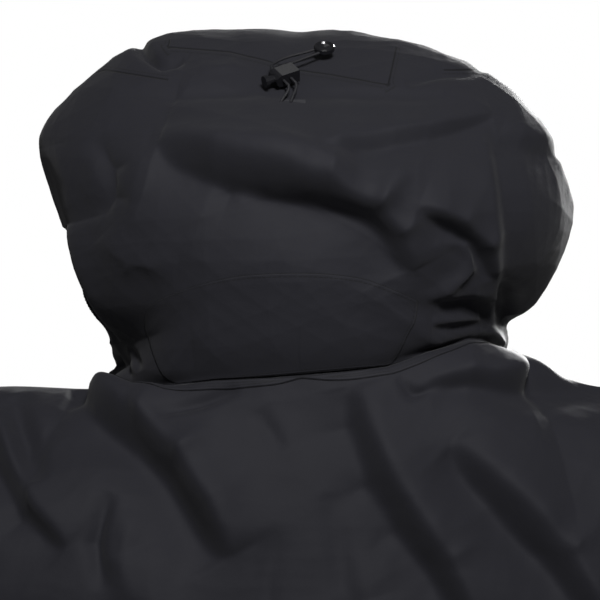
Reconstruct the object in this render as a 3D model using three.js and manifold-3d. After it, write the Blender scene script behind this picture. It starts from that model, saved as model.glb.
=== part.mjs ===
// A hooded hardshell jacket, standing as it is worn, closed to the chin with the hood up.
// Units are millimetres. +Z is up, the wearer faces -Y, and the wearer's left is +X.
// The origin is the middle of the neck opening, level with the back neck seam.
import * as THREE from 'three';
import Module from 'manifold-3d';
import { mergeVertices } from 'three/addons/utils/BufferGeometryUtils.js';

const wasm = await Module();
wasm.setup();

// ---------------------------------------------------------------- driving dimensions
const CLOTH = 2.0; // wall of every laminate panel
const TRIM = 1.0; // wall of overlays, tapes and inner pieces
const SEAM_GAP = 0.35 * CLOTH; // clearance between two panels that share a seam, whose edges meet at an angle
const LAY_GAP = 0.3; // clearance of a piece that lies on another

const BACK_LENGTH = 740; // back neck seam to hem
const HEM_DEPTH = 34;
const HEM_HALF_WIDTH = 262;
const WAIST_HALF_WIDTH = 238;
const WAIST_Z = -470;
const FRONT_Y = -112; // the centre front is one vertical line, hem to chin
const HEM_BACK_Y = 116;
const WAIST_BACK_Y = 102;
const BLADE_BACK_Y = 122; // deepest point, over the shoulder blades

const NECK_HALF_WIDTH = 118;
const NECK_BACK_Y = 82;
const NECK_FRONT_DROP = 72; // the front neck is this much lower than the back
const SHOULDER_X = 228;
const SHOULDER_Z = -18;

const ARMHOLE_HALF_HEIGHT = 118;
const ARMHOLE_HALF_DEPTH = 76;
const ARMPIT_X = 240;

// A sleeve, armhole to cuff seam: centre x and z, half height, half depth, and the degrees its ring has turned
const SLEEVE_RINGS = [
  [234, -136, 118, 76, 0],
  [294, -172, 92, 80, 28],
  [324, -262, 78, 76, 66],
  [WAIST_HALF_WIDTH + 98, -380, 66, 68, 84],
  [HEM_HALF_WIDTH + 76, -500, 58, 60, 88],
  [HEM_HALF_WIDTH + 74, -600, 51, 53, 90],
  [HEM_HALF_WIDTH + 72, -664, 45, 47, 90],
];
const CUFF_DEPTH = 46;
const TAB_SWEEP = 110; // degrees of the cuff that a tab covers
const TAB_WIDTH = 28;

const ZIP_REVEAL = 8; // from the centre front to the cut edge of each front panel
const CHIN_Z = 20; // top of the closed collar

// The hood, neck seam to brim: half width, top z, top y, and roundness, at even steps
const HOOD_ARCHES = [
  [118, 0, 82, 2.0],
  [158, 108, 106, 2.4],
  [170, 162, 46, 2.9],
  [166, 205, -34, 3.0],
  [124, 210, -118, 2.6],
];
const FLARE = 1.5; // how fast the collar widens above the neck seam: 1 reaches full width only at the top
const FACE_HALF_WIDTH = 92;
const CHIN_SHARE = 0.1; // share of each half of the front edge that is zipped
const CROWN_SEAM = 0.5; // shares of the way from neck seam to brim
const BRIM_SEAM = 0.9;
const CROWN_EDGE = 0.4; // share of the way across the hood to the crown panel
const PATCH = { left: 0.25, right: 0.7, low: 0.014, high: 0.14 }; // its edges as shares across and up the hood

const ZIPS = {
  hand: { length: 160, x: 168, z: -560 },
  chest: { length: 140, x: 92, z: -230 },
  vent: { length: 140, z: -480 },
};
const TAPE_WIDTH = 22;
const SLIDER = { width: 8, length: 11, base: 1.8, height: 4.4, bridge: 2 };
const PULL = { width: 6, length: 30, thick: 1.4 };

const CORD_DIAMETER = 1.8;
const LOCK = { length: 16, width: 10, height: 8, bore: 5.6, travel: 3, endWall: 2, cords: [-3, 2] };
const SLIT_K = 0.478; // the cord slit is just below the crown seam
const END_T = 0.508; // where the cord end lies, across the hood and towards the brim
const END_K = 0.64;
const CORD_END = { radius: 6.4, thick: 4.4 };

const HEM_Z = -BACK_LENGTH;
const HEM_TOP_Z = HEM_Z + HEM_DEPTH;

// ---------------------------------------------------------------- finishes
const finish = (color, roughness, metalness = 0) =>
  new THREE.MeshStandardMaterial({ color, roughness, metalness });
const SHELL = finish('#2b2b2f', 0.62);
const SHELL_TRIM = finish('#242427', 0.6);
const TAPE = finish('#1c1c1e', 0.45);
const PLASTIC = finish('#151517', 0.35);
const CORD = finish('#1d1d20', 0.7);
const LINING = finish('#1f1f22', 0.75);
const STEEL = finish('#8d8f94', 0.3, 1);

// ---------------------------------------------------------------- sheet and solid helpers
const vec = (x, y, z) => new THREE.Vector3(x, y, z);
const clamp = (x, low, high) => Math.min(high, Math.max(low, x));
const smooth = (x) => {
  const t = clamp(x, 0, 1);
  return t * t * (3 - 2 * t);
};
const mix = (a, b, t) => a + (b - a) * t;
const radians = THREE.MathUtils.degToRad;

/** A smooth curve through the keys of a table, by Catmull-Rom, read at x from 0 to 1. */
function throughKeys(keys, x) {
  const at = clamp(x, 0, 1) * (keys.length - 1);
  const i = Math.min(Math.floor(at), keys.length - 2);
  const t = at - i;
  const key = (k) => keys[clamp(k, 0, keys.length - 1)];
  const [a, b, c, d] = [key(i - 1), key(i), key(i + 1), key(i + 2)];
  const one = (p, q, r, s) =>
    0.5 * (2 * q + (r - p) * t + (2 * p - 5 * q + 4 * r - s) * t ** 2 + (3 * q - p - 3 * r + s) * t ** 3);
  return b.map((_, k) => one(a[k], b[k], c[k], d[k]));
}

/** The outward normal of a surface point(u, v), by differences, turned to face out from the given inner point. */
function normalOf(point, u, v, inner) {
  const step = 0.004;
  const du = point(u + step, v).sub(point(u - step, v));
  const dv = point(u, v + step).sub(point(u, v - step));
  const n = du.cross(dv).normalize();
  const out = point(u, v).sub(inner(u, v));
  return n.dot(out) < 0 ? n.negate() : n;
}

/** Grids of points and of wall directions, moved in from the seams by half the seam clearance. */
function seamed(rows, closed) {
  const last = rows.length - 1;
  const inward = (from, to) => from.add(to.clone().sub(from).setLength(SEAM_GAP / 2));
  rows[0].forEach((p, k) => inward(p, rows[1][k]));
  rows[last].forEach((p, k) => inward(p, rows[last - 1][k]));
  if (!closed)
    for (const row of rows) {
      inward(row[0], row[1]);
      inward(row[row.length - 1], row[row.length - 2]);
    }
  return rows;
}

/** A closed solid between an outer and an inner grid of points. A closed sheet joins its last column to its first. */
function sheetSolid(outer, inner, closed) {
  const [rows, columns] = [outer.length, outer[0].length];
  const positions = [...outer.flat(), ...inner.flat()].flatMap((p) => [p.x, p.y, p.z]);
  const index = [];
  const at = (layer, i, j) => layer * rows * columns + i * columns + (j % columns);
  const quad = (a, b, c, d) => index.push(a, b, c, a, c, d);
  const spans = closed ? columns : columns - 1;
  for (let i = 0; i < rows - 1; i++)
    for (let j = 0; j < spans; j++) {
      quad(at(0, i, j), at(0, i, j + 1), at(0, i + 1, j + 1), at(0, i + 1, j));
      quad(at(1, i, j), at(1, i + 1, j), at(1, i + 1, j + 1), at(1, i, j + 1));
    }
  for (let j = 0; j < spans; j++) {
    quad(at(0, 0, j + 1), at(0, 0, j), at(1, 0, j), at(1, 0, j + 1));
    quad(at(0, rows - 1, j), at(0, rows - 1, j + 1), at(1, rows - 1, j + 1), at(1, rows - 1, j));
  }
  if (!closed)
    for (let i = 0; i < rows - 1; i++) {
      quad(at(0, i, 0), at(0, i + 1, 0), at(1, i + 1, 0), at(1, i, 0));
      quad(at(0, i + 1, columns - 1), at(0, i, columns - 1), at(1, i, columns - 1), at(1, i + 1, columns - 1));
    }
  const geometry = new THREE.BufferGeometry();
  geometry.setAttribute('position', new THREE.Float32BufferAttribute(positions, 3));
  geometry.setIndex(index);
  return facingOut(geometry);
}

/** The volume inside a closed geometry: negative where its faces point in. */
function signedVolume(geometry) {
  const g = geometry.index ? geometry.toNonIndexed() : geometry;
  const p = g.getAttribute('position');
  const [a, b, c] = [vec(), vec(), vec()];
  let sum = 0;
  for (let i = 0; i < p.count; i += 3) {
    a.fromBufferAttribute(p, i);
    b.fromBufferAttribute(p, i + 1);
    c.fromBufferAttribute(p, i + 2);
    sum += a.dot(b.cross(c));
  }
  return sum / 6;
}

function facingOut(geometry) {
  if (signedVolume(geometry) < 0) {
    const index = geometry.index.array;
    for (let i = 0; i < index.length; i += 3) [index[i + 1], index[i + 2]] = [index[i + 2], index[i + 1]];
  }
  return geometry;
}

/**
 * A panel of cloth: point(u, v) over u, v from 0 to 1, with its wall inside it. lift moves the outer face off the
 * surface, edge(u, v) may pull the wall's direction towards one that two panels share at their seam.
 */
function panel({ point, inner, rows, columns, wall = CLOTH, lift = 0, closed = false, edge, seams = true }) {
  const across = closed ? columns : columns - 1;
  const outer = [];
  const inside = [];
  for (let i = 0; i < rows; i++) {
    const points = [];
    const backs = [];
    for (let j = 0; j < columns; j++) {
      const [u, v] = [j / across, i / (rows - 1)];
      const n = normalOf(point, u, v, inner);
      if (edge) edge(n, u, v);
      const p = point(u, v);
      points.push(p.clone().addScaledVector(n, lift));
      backs.push(p.addScaledVector(n, lift - wall));
    }
    outer.push(points);
    inside.push(backs);
  }
  if (seams) {
    seamed(outer, closed);
    seamed(inside, closed);
  }
  return sheetSolid(outer, inside, closed);
}

/** manifold-3d's solid of a closed geometry. */
function solidOf(geometry) {
  const bare = geometry.index ? geometry.toNonIndexed() : geometry.clone();
  bare.deleteAttribute('normal');
  bare.deleteAttribute('uv');
  const merged = mergeVertices(bare, 1e-4);
  return new wasm.Manifold(
    new wasm.Mesh({
      numProp: 3,
      vertProperties: merged.attributes.position.array,
      triVerts: new Uint32Array(merged.index.array),
    }),
  );
}

function geometryOf(solid) {
  const { numProp, vertProperties, triVerts } = solid.getMesh();
  const positions = new Float32Array((vertProperties.length / numProp) * 3);
  for (let i = 0; i < positions.length / 3; i++)
    positions.set(vertProperties.subarray(i * numProp, i * numProp + 3), i * 3);
  const geometry = new THREE.BufferGeometry();
  geometry.setAttribute('position', new THREE.BufferAttribute(positions, 3));
  geometry.setIndex(new THREE.BufferAttribute(new Uint32Array(triVerts), 1));
  return geometry;
}

const joined = (...parts) => geometryOf(parts.map(solidOf).reduce((a, b) => a.add(b)));
const cutFrom = (whole, ...tools) => geometryOf(tools.map(solidOf).reduce((a, b) => a.subtract(b), solidOf(whole)));

const jacket = new THREE.Group();
function add(name, geometry, material, parent = jacket) {
  const mesh = new THREE.Mesh(geometry, material);
  mesh.name = name;
  parent.add(mesh);
  return mesh;
}

/** The same piece on the wearer's left (+X) and right (-X). */
const SIDES = [
  ['left', 1],
  ['right', -1],
];

// ---------------------------------------------------------------- the shared seam lines
/** A seam drawn as straight runs between its points at whole steps, so every panel on it meets the same line. */
function inRuns(curve, step, at) {
  const low = Math.floor(at / step) * step;
  return curve(low).lerp(curve(low + step), (at - low) / step);
}

/** The neck seam: turn is 0 at the centre back, 90 at the wearer's left and 180 at the centre front, in degrees. */
function neckSeam(turn) {
  const curve = (degrees) => {
    const a = radians(degrees);
    const forward = Math.cos(a) < 0;
    const drop = NECK_FRONT_DROP * smooth((degrees - 62) / 118);
    const y = forward ? FRONT_Y * Math.abs(Math.cos(a)) ** 0.6 : NECK_BACK_Y * Math.cos(a);
    return vec(Math.max(NECK_HALF_WIDTH * Math.sin(a), forward ? ZIP_REVEAL : 0), y, -drop);
  };
  return inRuns(curve, 18, clamp(turn, 0, 180));
}

const shoulderTip = () => vec(SHOULDER_X, 0, SHOULDER_Z);

/** The armhole: turn is 0 at the shoulder tip, 90 at the back and 180 at the armpit, in degrees. */
function armhole(turn) {
  const curve = (degrees) => {
    const a = radians(degrees);
    const inset = 14 * Math.abs(Math.sin(a)) ** 1.5;
    const x = mix(SHOULDER_X, ARMPIT_X, (1 - Math.cos(a)) / 2) - inset;
    const z = SHOULDER_Z - ARMHOLE_HALF_HEIGHT * (1 - Math.cos(a));
    return vec(x, ARMHOLE_HALF_DEPTH * Math.sin(a), z);
  };
  return inRuns(curve, 30, turn);
}

const ARMPIT_Z = SHOULDER_Z - 2 * ARMHOLE_HALF_HEIGHT;
const SIDE_SHARE = 2 / 3; // share of a body panel's height that is side seam rather than armhole
const NECK_SHARE = 0.5; // share of its top edge that is neck seam rather than shoulder seam
const BULGE = 2.5; // roundness of the body's section: 2 is an ellipse

/** Half the body's width, and the centre back's y, at a height between hem and armpit. */
function bodySize(z) {
  const keys = [
    [HEM_HALF_WIDTH, HEM_BACK_Y],
    [mix(HEM_HALF_WIDTH, WAIST_HALF_WIDTH, 0.6), mix(HEM_BACK_Y, WAIST_BACK_Y, 0.6)],
    [WAIST_HALF_WIDTH, WAIST_BACK_Y],
    [ARMPIT_X, BLADE_BACK_Y],
  ];
  const share = z < WAIST_Z ? ((z - HEM_Z) / (WAIST_Z - HEM_Z)) * 2 : 2 + (z - WAIST_Z) / (ARMPIT_Z - WAIST_Z);
  return throughKeys(keys, share / 3);
}

/** Half the body's section, from the centre line to the side: side is 1 for the back and -1 for the front. */
function sectionPoint(u, centre, edge, rise) {
  const a = (clamp(u, 0, 1) * Math.PI) / 2;
  const across = Math.sin(a) ** (2 / BULGE);
  const out = Math.cos(a) ** (2 / BULGE);
  return vec(mix(centre.x, edge.x, across), mix(edge.y, centre.y, out), mix(centre.z, edge.z, u ** rise));
}

function sectionAt(u, z, side) {
  const [halfWidth, backY] = bodySize(z);
  const centre = side > 0 ? vec(0, backY, z) : vec(ZIP_REVEAL, FRONT_Y, z);
  return sectionPoint(u, centre, vec(halfWidth, 0, z), 1);
}

/** Half a body panel: u from the centre line to the side, v from the hem seam to neck and shoulder. */
function bodyHalf(u, v, side) {
  if (v <= SIDE_SHARE) return sectionAt(u, mix(HEM_TOP_Z, ARMPIT_Z, v / SIDE_SHARE), side);
  const up = (v - SIDE_SHARE) / (1 - SIDE_SHARE);
  const turn = side > 0 ? 0 : 180;
  const neck = neckSeam(turn);
  const backY = throughKeys([[BLADE_BACK_Y], [BLADE_BACK_Y + 2], [112], [NECK_BACK_Y]], up)[0];
  const centre = vec(neck.x, side > 0 ? backY : FRONT_Y, mix(ARMPIT_Z, neck.z, up));
  const edge = armhole(180 * (1 - up));
  edge.y *= side;
  const p = sectionPoint(u, centre, edge, 2);
  const across = (u - NECK_SHARE) / (1 - NECK_SHARE);
  const top = across < 0 ? neckSeam(mix(turn, 90, u / NECK_SHARE)) : neckSeam(90).lerp(shoulderTip(), across);
  return p.lerp(top, clamp((up - 0.4) / 0.6, 0, 1) ** 2.2);
}

const bodyCore = (u, v) => vec(0, 0, mix(HEM_TOP_Z, -150, v));

/** At neck and shoulder the walls of front and back both go straight down. */
const shareTopSeam = (n, u, v) => n.lerp(vec(0, 0, 1), smooth((v - 0.84) / 0.16)).normalize();

// ---------------------------------------------------------------- body: back, fronts and hem
const BODY_ROWS = 19;
const HALF_SPANS = 10;

const mirrorX = (p, sign) => p.setX(p.x * sign);
const backPoint = (u, v) => mirrorX(bodyHalf(Math.abs(2 * u - 1), v, 1), u < 0.5 ? -1 : 1);
const frontPoint = (hand) => (u, v) => mirrorX(bodyHalf(u, v, -1), hand);

const bodySheet = (point, columns) =>
  panel({ point, inner: bodyCore, rows: BODY_ROWS, columns, edge: shareTopSeam });
add('back_panel', bodySheet(backPoint, 2 * HALF_SPANS + 1), SHELL);
for (const [name, hand] of SIDES) add(`front_panel_${name}`, bodySheet(frontPoint(hand), HALF_SPANS + 1), SHELL);

/** The hem: one band from centre front round the back to centre front, turned up over the drawcord tunnel. */
function hemPoint(u, v) {
  const s = 4 * u - 2;
  const z = mix(HEM_Z, HEM_TOP_Z, v);
  const p = Math.abs(s) <= 1 ? sectionAt(Math.abs(s), z, 1) : sectionAt(2 - Math.abs(s), z, -1);
  return mirrorX(p, Math.sign(s) || 1);
}
const level = (n) => n.setZ(0).normalize();
const hemSheet = { point: hemPoint, inner: () => vec(0, 0, HEM_Z), rows: 3, columns: 4 * HALF_SPANS + 1 };
add('hem_band', panel({ ...hemSheet, wall: 2.6, edge: level }), SHELL_TRIM);

// ---------------------------------------------------------------- sleeves and cuffs
const CUFF_TOP_Z = SLEEVE_RINGS[SLEEVE_RINGS.length - 1][1];
const CUFF_X = SLEEVE_RINGS[SLEEVE_RINGS.length - 1][0];

function sleevePoint(u, v) {
  const turn = u * 360;
  const [x, z, high, deep, tilt] = throughKeys(SLEEVE_RINGS, v);
  const a = radians(turn);
  const t = radians(tilt);
  const out = high * Math.cos(a);
  const p = vec(x + out * Math.sin(t), deep * Math.sin(a), z + out * Math.cos(t));
  const ring = armholeRing(turn);
  return ring.lerp(p, smooth(Math.max(v, 0) / 0.16));
}

function armholeRing(turn) {
  const at = ((turn % 360) + 360) % 360;
  const p = armhole(Math.min(at, 360 - at));
  return at > 180 ? p.setY(-p.y) : p;
}

function sleeveCore(u, v) {
  const [x, z] = throughKeys(SLEEVE_RINGS, v);
  return vec(x, 0, z);
}

/** A cuff ring at a depth below the cuff seam. */
const cuffPoint = (u, v) => {
  const [, , high, deep] = SLEEVE_RINGS[SLEEVE_RINGS.length - 1];
  const a = radians(u * 360);
  const taper = 1 - 0.03 * v;
  return vec(CUFF_X + high * taper * Math.cos(a), deep * taper * Math.sin(a), CUFF_TOP_Z - CUFF_DEPTH * v);
};
const cuffCore = (u, v) => vec(CUFF_X, 0, CUFF_TOP_Z - CUFF_DEPTH * v);

const onHand = (point, hand) => (u, v) => mirrorX(point(u, v), hand);
for (const [name, hand] of SIDES) {
  const sleeve = { point: onHand(sleevePoint, hand), inner: onHand(sleeveCore, hand) };
  add(`sleeve_${name}`, panel({ ...sleeve, rows: 15, columns: 24, closed: true }), SHELL);
  const cuff = { point: onHand(cuffPoint, hand), inner: onHand(cuffCore, hand) };
  add(`cuff_band_${name}`, panel({ ...cuff, rows: 3, columns: 24, closed: true, wall: 2.6 }), SHELL_TRIM);
  const tabPoint = (u, v) => {
    const sweep = mix(60, 60 + TAB_SWEEP, u) / 360;
    return cuff.point(sweep, mix(0.5 - TAB_WIDTH / 2 / CUFF_DEPTH, 0.5 + TAB_WIDTH / 2 / CUFF_DEPTH, v));
  };
  const lift = TRIM + 3 * LAY_GAP;
  add(`cuff_tab_${name}`, panel({ point: tabPoint, inner: cuff.inner, rows: 3, columns: 9, wall: TRIM, lift }), TAPE);
}

// ---------------------------------------------------------------- hood
/** The front edge of the hood and collar: t from 0 at the left of the zip, over the brim, to 1 at its right. */
function frontEdge(t) {
  const s = 1 - Math.abs(2 * t - 1);
  const zipped = 2 * CHIN_SHARE;
  const sign = t < 0.5 ? 1 : -1;
  if (s < zipped) return vec(sign * ZIP_REVEAL, FRONT_Y, mix(-NECK_FRONT_DROP, CHIN_Z, Math.max(s, 0) / zipped));
  const a = mix(-85, 90, (s - zipped) / (1 - zipped));
  const [, topZ, topY] = HOOD_ARCHES[HOOD_ARCHES.length - 1];
  const half = (topZ - CHIN_Z) / 2;
  return vec(
    sign * FACE_HALF_WIDTH * Math.cos(radians(a)),
    mix(FRONT_Y, topY, smooth((a + 85) / 175)),
    CHIN_Z + half * (1 + Math.sin(radians(a))),
  );
}

/** The hood: t across it from the wearer's left to right, k from the back neck seam to the front edge. */
function hoodPoint(t, k) {
  const foot = (turn) => neckSeam(turn);
  const arch = (at) => {
    const [halfWidth, topZ, topY, round] = throughKeys(HOOD_ARCHES, at);
    const ground = foot(90 + 90 * clamp(at, 0, 1));
    const s = clamp(t, 0, 1) * Math.PI;
    const across = Math.sign(Math.cos(s)) * Math.abs(Math.cos(s)) ** (2 / round);
    const up = Math.sin(s) ** (2 / round);
    const spread = mix(ground.x, halfWidth, clamp(mix(4, FLARE, smooth(at / 0.6)) * up, 0, 1));
    return vec(spread * across, mix(ground.y, topY, up), mix(ground.z, topZ, up));
  };
  const neck = (at) => mirrorX(foot(Math.abs(180 * clamp(at, 0, 1) - 90)), at < 0.5 ? 1 : -1);
  const p = arch(k);
  p.add(neck(t).sub(arch(0)).multiplyScalar(1 - smooth(k / 0.3)));
  return p.add(frontEdge(t).sub(arch(1)).multiplyScalar(smooth((k - 0.55) / 0.45)));
}

const hoodCore = () => vec(0, -20, 70);
const hoodPiece = (low, high, rows, columns, more = {}) =>
  panel({
    point: (u, v) => hoodPoint(mix(low[0], high[0], u), mix(low[1], high[1], v)),
    inner: hoodCore,
    rows,
    columns,
    ...more,
  });
add('hood_main', hoodPiece([0, 0], [1, CROWN_SEAM], 11, 21), SHELL);
add('hood_crown', hoodPiece([CROWN_EDGE, CROWN_SEAM], [1 - CROWN_EDGE, BRIM_SEAM], 9, 5), SHELL);
add('hood_brim', hoodPiece([CROWN_EDGE, BRIM_SEAM], [1 - CROWN_EDGE, 1], 3, 5, { wall: 2.6 }), SHELL_TRIM);
for (const [name, hand] of SIDES) {
  const low = (t) => (hand > 0 ? t : 1 - t);
  const cheek = hoodPiece([low(CHIN_SHARE), CROWN_SEAM], [low(CROWN_EDGE), 1], 11, 7);
  add(`hood_cheek_${name}`, cheek, SHELL);
  add(`collar_${name}`, hoodPiece([low(0), CROWN_SEAM], [low(CHIN_SHARE), 1], 11, 3), SHELL);
}

/** The half-moon patch over the back of the neck, from the neck seam up. */
const patchPoint = (u, v) => hoodPoint(mix(PATCH.left, PATCH.right, u), mix(PATCH.low, PATCH.high, v));
const overlay = { wall: TRIM, lift: TRIM + 2 * LAY_GAP };
add('hood_neck_patch', panel({ point: patchPoint, inner: hoodCore, rows: 5, columns: 10, ...overlay, lift: TRIM + 1.1 }), SHELL_TRIM);

/** A light facing band laid along the yoke just under the back neck seam. */
const facingPoint = (u, v) => backPoint(mix(0.3, 0.7, u), mix(0.966, 0.986, v));
const facing = { point: facingPoint, inner: bodyCore, rows: 3, columns: 9, edge: shareTopSeam };
add('neck_facing', panel({ ...facing, ...overlay, lift: TRIM + 3 * LAY_GAP }), SHELL_TRIM);

// ---------------------------------------------------------------- small fittings
/** A frame whose x runs across, y out of the cloth and z up along it. */
function frameOf(origin, out, up) {
  const y = out.clone().normalize();
  const x = y.clone().cross(up).normalize();
  return new THREE.Matrix4().makeBasis(x, y, x.clone().cross(y)).setPosition(origin);
}
const placed = (geometry, frame) => geometry.clone().applyMatrix4(frame);
const block = (w, d, h, x = 0, y = 0, z = 0) => new THREE.BoxGeometry(w, d, h).translate(x, y, z);
const rod = (radius, length, axis, x = 0, y = 0, z = 0) => {
  const g = new THREE.CylinderGeometry(radius, radius, length, 12);
  if (axis === 'x') g.rotateZ(Math.PI / 2);
  if (axis === 'z') g.rotateX(Math.PI / 2);
  return g.translate(x, y, z);
};

/** A zip slider over a tape whose face is y = 0: base, and a bridge that the pull's pin runs under. */
function sliderBody() {
  const { width, length, base, height, bridge } = SLIDER;
  const post = (z) => block(bridge, height - base, 1.6, 0, LAY_GAP + base + (height - base) / 2, z);
  const end = length / 2 - 1.4;
  return joined(
    block(width, base, length, 0, LAY_GAP + base / 2, 0),
    post(end).translate(0, -0.05, 0),
    post(-end).translate(0, -0.05, 0),
    block(bridge, 0.9, length - 1.2, 0, LAY_GAP + height - 0.45, 0),
  );
}
const PIN_OUT = LAY_GAP + SLIDER.base + LAY_GAP + PULL.thick / 2;

/** A zip pull: a cross pin under the bridge, two arms past its lower post, and the tab that hangs from them. */
function sliderPull() {
  const { width, length, thick } = PULL;
  const arm = (width - SLIDER.bridge - 2 * LAY_GAP) / 2;
  const reach = SLIDER.length / 2 + 1;
  const side = (sign) => block(arm, thick, reach + thick / 2, (sign * (width - arm)) / 2, PIN_OUT, -reach / 2 + thick / 4);
  return joined(
    rod(thick / 2, width - 0.2, 'x', 0, PIN_OUT, 0),
    side(1),
    side(-1),
    block(width, thick, length - reach, 0, PIN_OUT, -reach - (length - reach) / 2 + 0.1),
  );
}

/** A straight zip of a length upwards from its frame's origin, its slider and pull parked near the top. */
function zip(name, frame, length, material = TAPE) {
  const tape = joined(
    block(TAPE_WIDTH, TRIM, length, 0, -TRIM / 2, length / 2),
    block(3, 0.8, length - 8, 0, -0.1, length / 2),
  );
  add(`${name}_tape`, placed(tape, frame), material);
  const slider = frame.clone().multiply(new THREE.Matrix4().makeTranslation(0, 0.3, length - SLIDER.length));
  add(`${name}_slider`, placed(sliderBody(), slider), PLASTIC);
  add(`${name}_pull`, placed(sliderPull(), slider), PLASTIC);
}

/** The frame of a straight zip laid on a front panel or body side, held just off the highest cloth under it. */
function onCloth(point, x, z, length, out) {
  const low = point(x, z);
  const high = point(x, z + length);
  const up = high.clone().sub(low).normalize();
  const frame = frameOf(low, out, up);
  const back = frame.clone().invert();
  let proud = -Infinity;
  for (let i = 0; i <= 24; i++)
    for (const side of [-1, 0, 1]) {
      const p = point(x + (side * TAPE_WIDTH) / 2, z + (length * i) / 24);
      if (p) proud = Math.max(proud, p.applyMatrix4(back).y);
    }
  return frame.multiply(new THREE.Matrix4().makeTranslation(0, proud + TRIM + LAY_GAP, 0));
}

/** The point of a front panel at x and z, found along its section. */
function frontAt(hand) {
  return (x, z) => {
    let [low, high] = [0, 1];
    const v = (at) => (z <= ARMPIT_Z ? null : at);
    const read = (u) => (v(u) === null ? sectionAt(u, z, -1) : frontAtHeight(u, z));
    for (let i = 0; i < 30; i++) {
      const middle = (low + high) / 2;
      if (read(middle).x < x) low = middle;
      else high = middle;
    }
    return mirrorX(read(low), hand);
  };
}

/** The front panel at a share across and a height above the armpit. */
function frontAtHeight(u, z) {
  let [low, high] = [SIDE_SHARE, 1];
  for (let i = 0; i < 30; i++) {
    const middle = (low + high) / 2;
    if (bodyHalf(u, middle, -1).z < z) low = middle;
    else high = middle;
  }
  return bodyHalf(u, low, -1);
}

// ---------------------------------------------------------------- zips
/** The front zip: two tapes behind the cut edges, each with half the coil, in the straight gap between the fronts. */
const zipBottom = HEM_Z + 4;
const zipTop = CHIN_Z - 6;
const zipLength = zipTop - zipBottom;
const zipMiddle = (zipTop + zipBottom) / 2;
const TAPE_Y = FRONT_Y + CLOTH + 1.2 + LAY_GAP;
for (const [name, hand] of SIDES) {
  const tape = joined(
    block(8, TRIM, zipLength, hand * 5.4, TAPE_Y + TRIM / 2, zipMiddle),
    block(2.6, 2.6, zipLength, hand * (1.3 + LAY_GAP / 2), TAPE_Y - 0.2, zipMiddle),
  );
  add(`main_zip_tape_${name}`, tape, TAPE);
}
const mainFrame = frameOf(vec(0, TAPE_Y - 1.5, zipTop - SLIDER.length), vec(0, -1, 0), vec(0, 0, 1));
add('main_zip_slider', placed(sliderBody(), mainFrame), PLASTIC);
add('main_zip_pull', placed(sliderPull(), mainFrame), PLASTIC);

/** The wind flap lies behind the closed zip, and its top wraps the chin. */
const flapLength = zipLength - 20;
const flapY = TAPE_Y + TRIM + LAY_GAP;
add('storm_flap', block(22, TRIM, flapLength, 2, flapY + TRIM / 2, zipMiddle - 6), LINING);
add('chin_guard', block(24, 1.4, 56, 0, flapY + TRIM + LAY_GAP + 0.7, CHIN_Z - 34), LINING);

for (const [name, hand] of SIDES) {
  const at = frontAt(hand);
  const { hand: hip, vent } = ZIPS;
  const out = vec(hand * 0.36, -1, 0);
  zip(`hand_zip_${name}`, onCloth(at, hip.x, hip.z, hip.length, out), hip.length);
  const side = (x, z) => mirrorX(vec(sectionAt(1, z, 1).x, x, z), hand);
  const ventFrame = onCloth(side, 0, vent.z - vent.length / 2, vent.length, vec(hand, 0, 0));
  zip(`vent_zip_${name}`, ventFrame, vent.length);
}
const { chest } = ZIPS;
zip('chest_zip', onCloth(frontAt(1), chest.x, chest.z, chest.length, vec(0.1, -1, 0)), chest.length);

// ---------------------------------------------------------------- cord locks
/** A barrel cord lock: a body bored along x, crossed along z by two cord channels, and a sprung plunger. */
function lockBody() {
  const { length, width, height, bore } = LOCK;
  const shell = joined(
    block(length - height / 2, height, width, height / 4, 0, 0),
    rod(height / 2, width, 'z', -length / 2 + height / 2, 0, 0),
  );
  const channel = (x) => rod(CORD_DIAMETER / 2 + LAY_GAP, width + 2, 'z', x, 0, 0);
  return cutFrom(shell, rod(bore / 2, length, 'x', -LOCK.endWall, 0, 0), ...LOCK.cords.map(channel));
}
/** Its plunger: the head stands out of the bore, and a slot along the stem clears both cords over its travel. */
function lockPlunger() {
  const { length, bore, travel } = LOCK;
  const stemLength = length - LOCK.endWall - travel - 0.8;
  const stem = rod(bore / 2 - LAY_GAP, stemLength, 'x', (stemLength - length) / 2, 0, 0);
  const [first, last] = LOCK.cords;
  const clear = CORD_DIAMETER + 2 * LAY_GAP;
  const slot = block(last - first + clear + travel + 0.4, clear, bore + 2, (first + last - travel - 0.4) / 2, 0, 0);
  const head = rod(bore / 2 + 0.9, 2.4, 'x', -length / 2 - travel - 1.6, 0, 0);
  const neck = rod(bore / 2 - LAY_GAP, travel + 1.7, 'x', -length / 2 - travel / 2 - 0.75, 0, 0);
  return joined(cutFrom(stem, slot), neck, head);
}

/** The normal of the hood at t, k, facing out. */
const hoodNormal = (t, k) => normalOf(hoodPoint, t, k, hoodCore);
const HEADING = vec(-0.857, -0.433, 0.273); // the lock's long axis, lying on the crown
const LOCK_LIFT = LOCK.height / 2 + 1.6;
const lockAt = { t: 0.4955, k: 0.545 };
const lockFrame = frameOf(
  hoodPoint(lockAt.t, lockAt.k).addScaledVector(hoodNormal(lockAt.t, lockAt.k), LOCK_LIFT),
  hoodNormal(lockAt.t, lockAt.k),
  HEADING.clone().cross(hoodNormal(lockAt.t, lockAt.k)).negate(),
);
const turned = (geometry) => geometry.rotateY(Math.PI);
add('rear_lock_body', placed(turned(lockBody()), lockFrame), PLASTIC);
add('rear_lock_button', placed(turned(lockPlunger()), lockFrame), PLASTIC);

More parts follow.
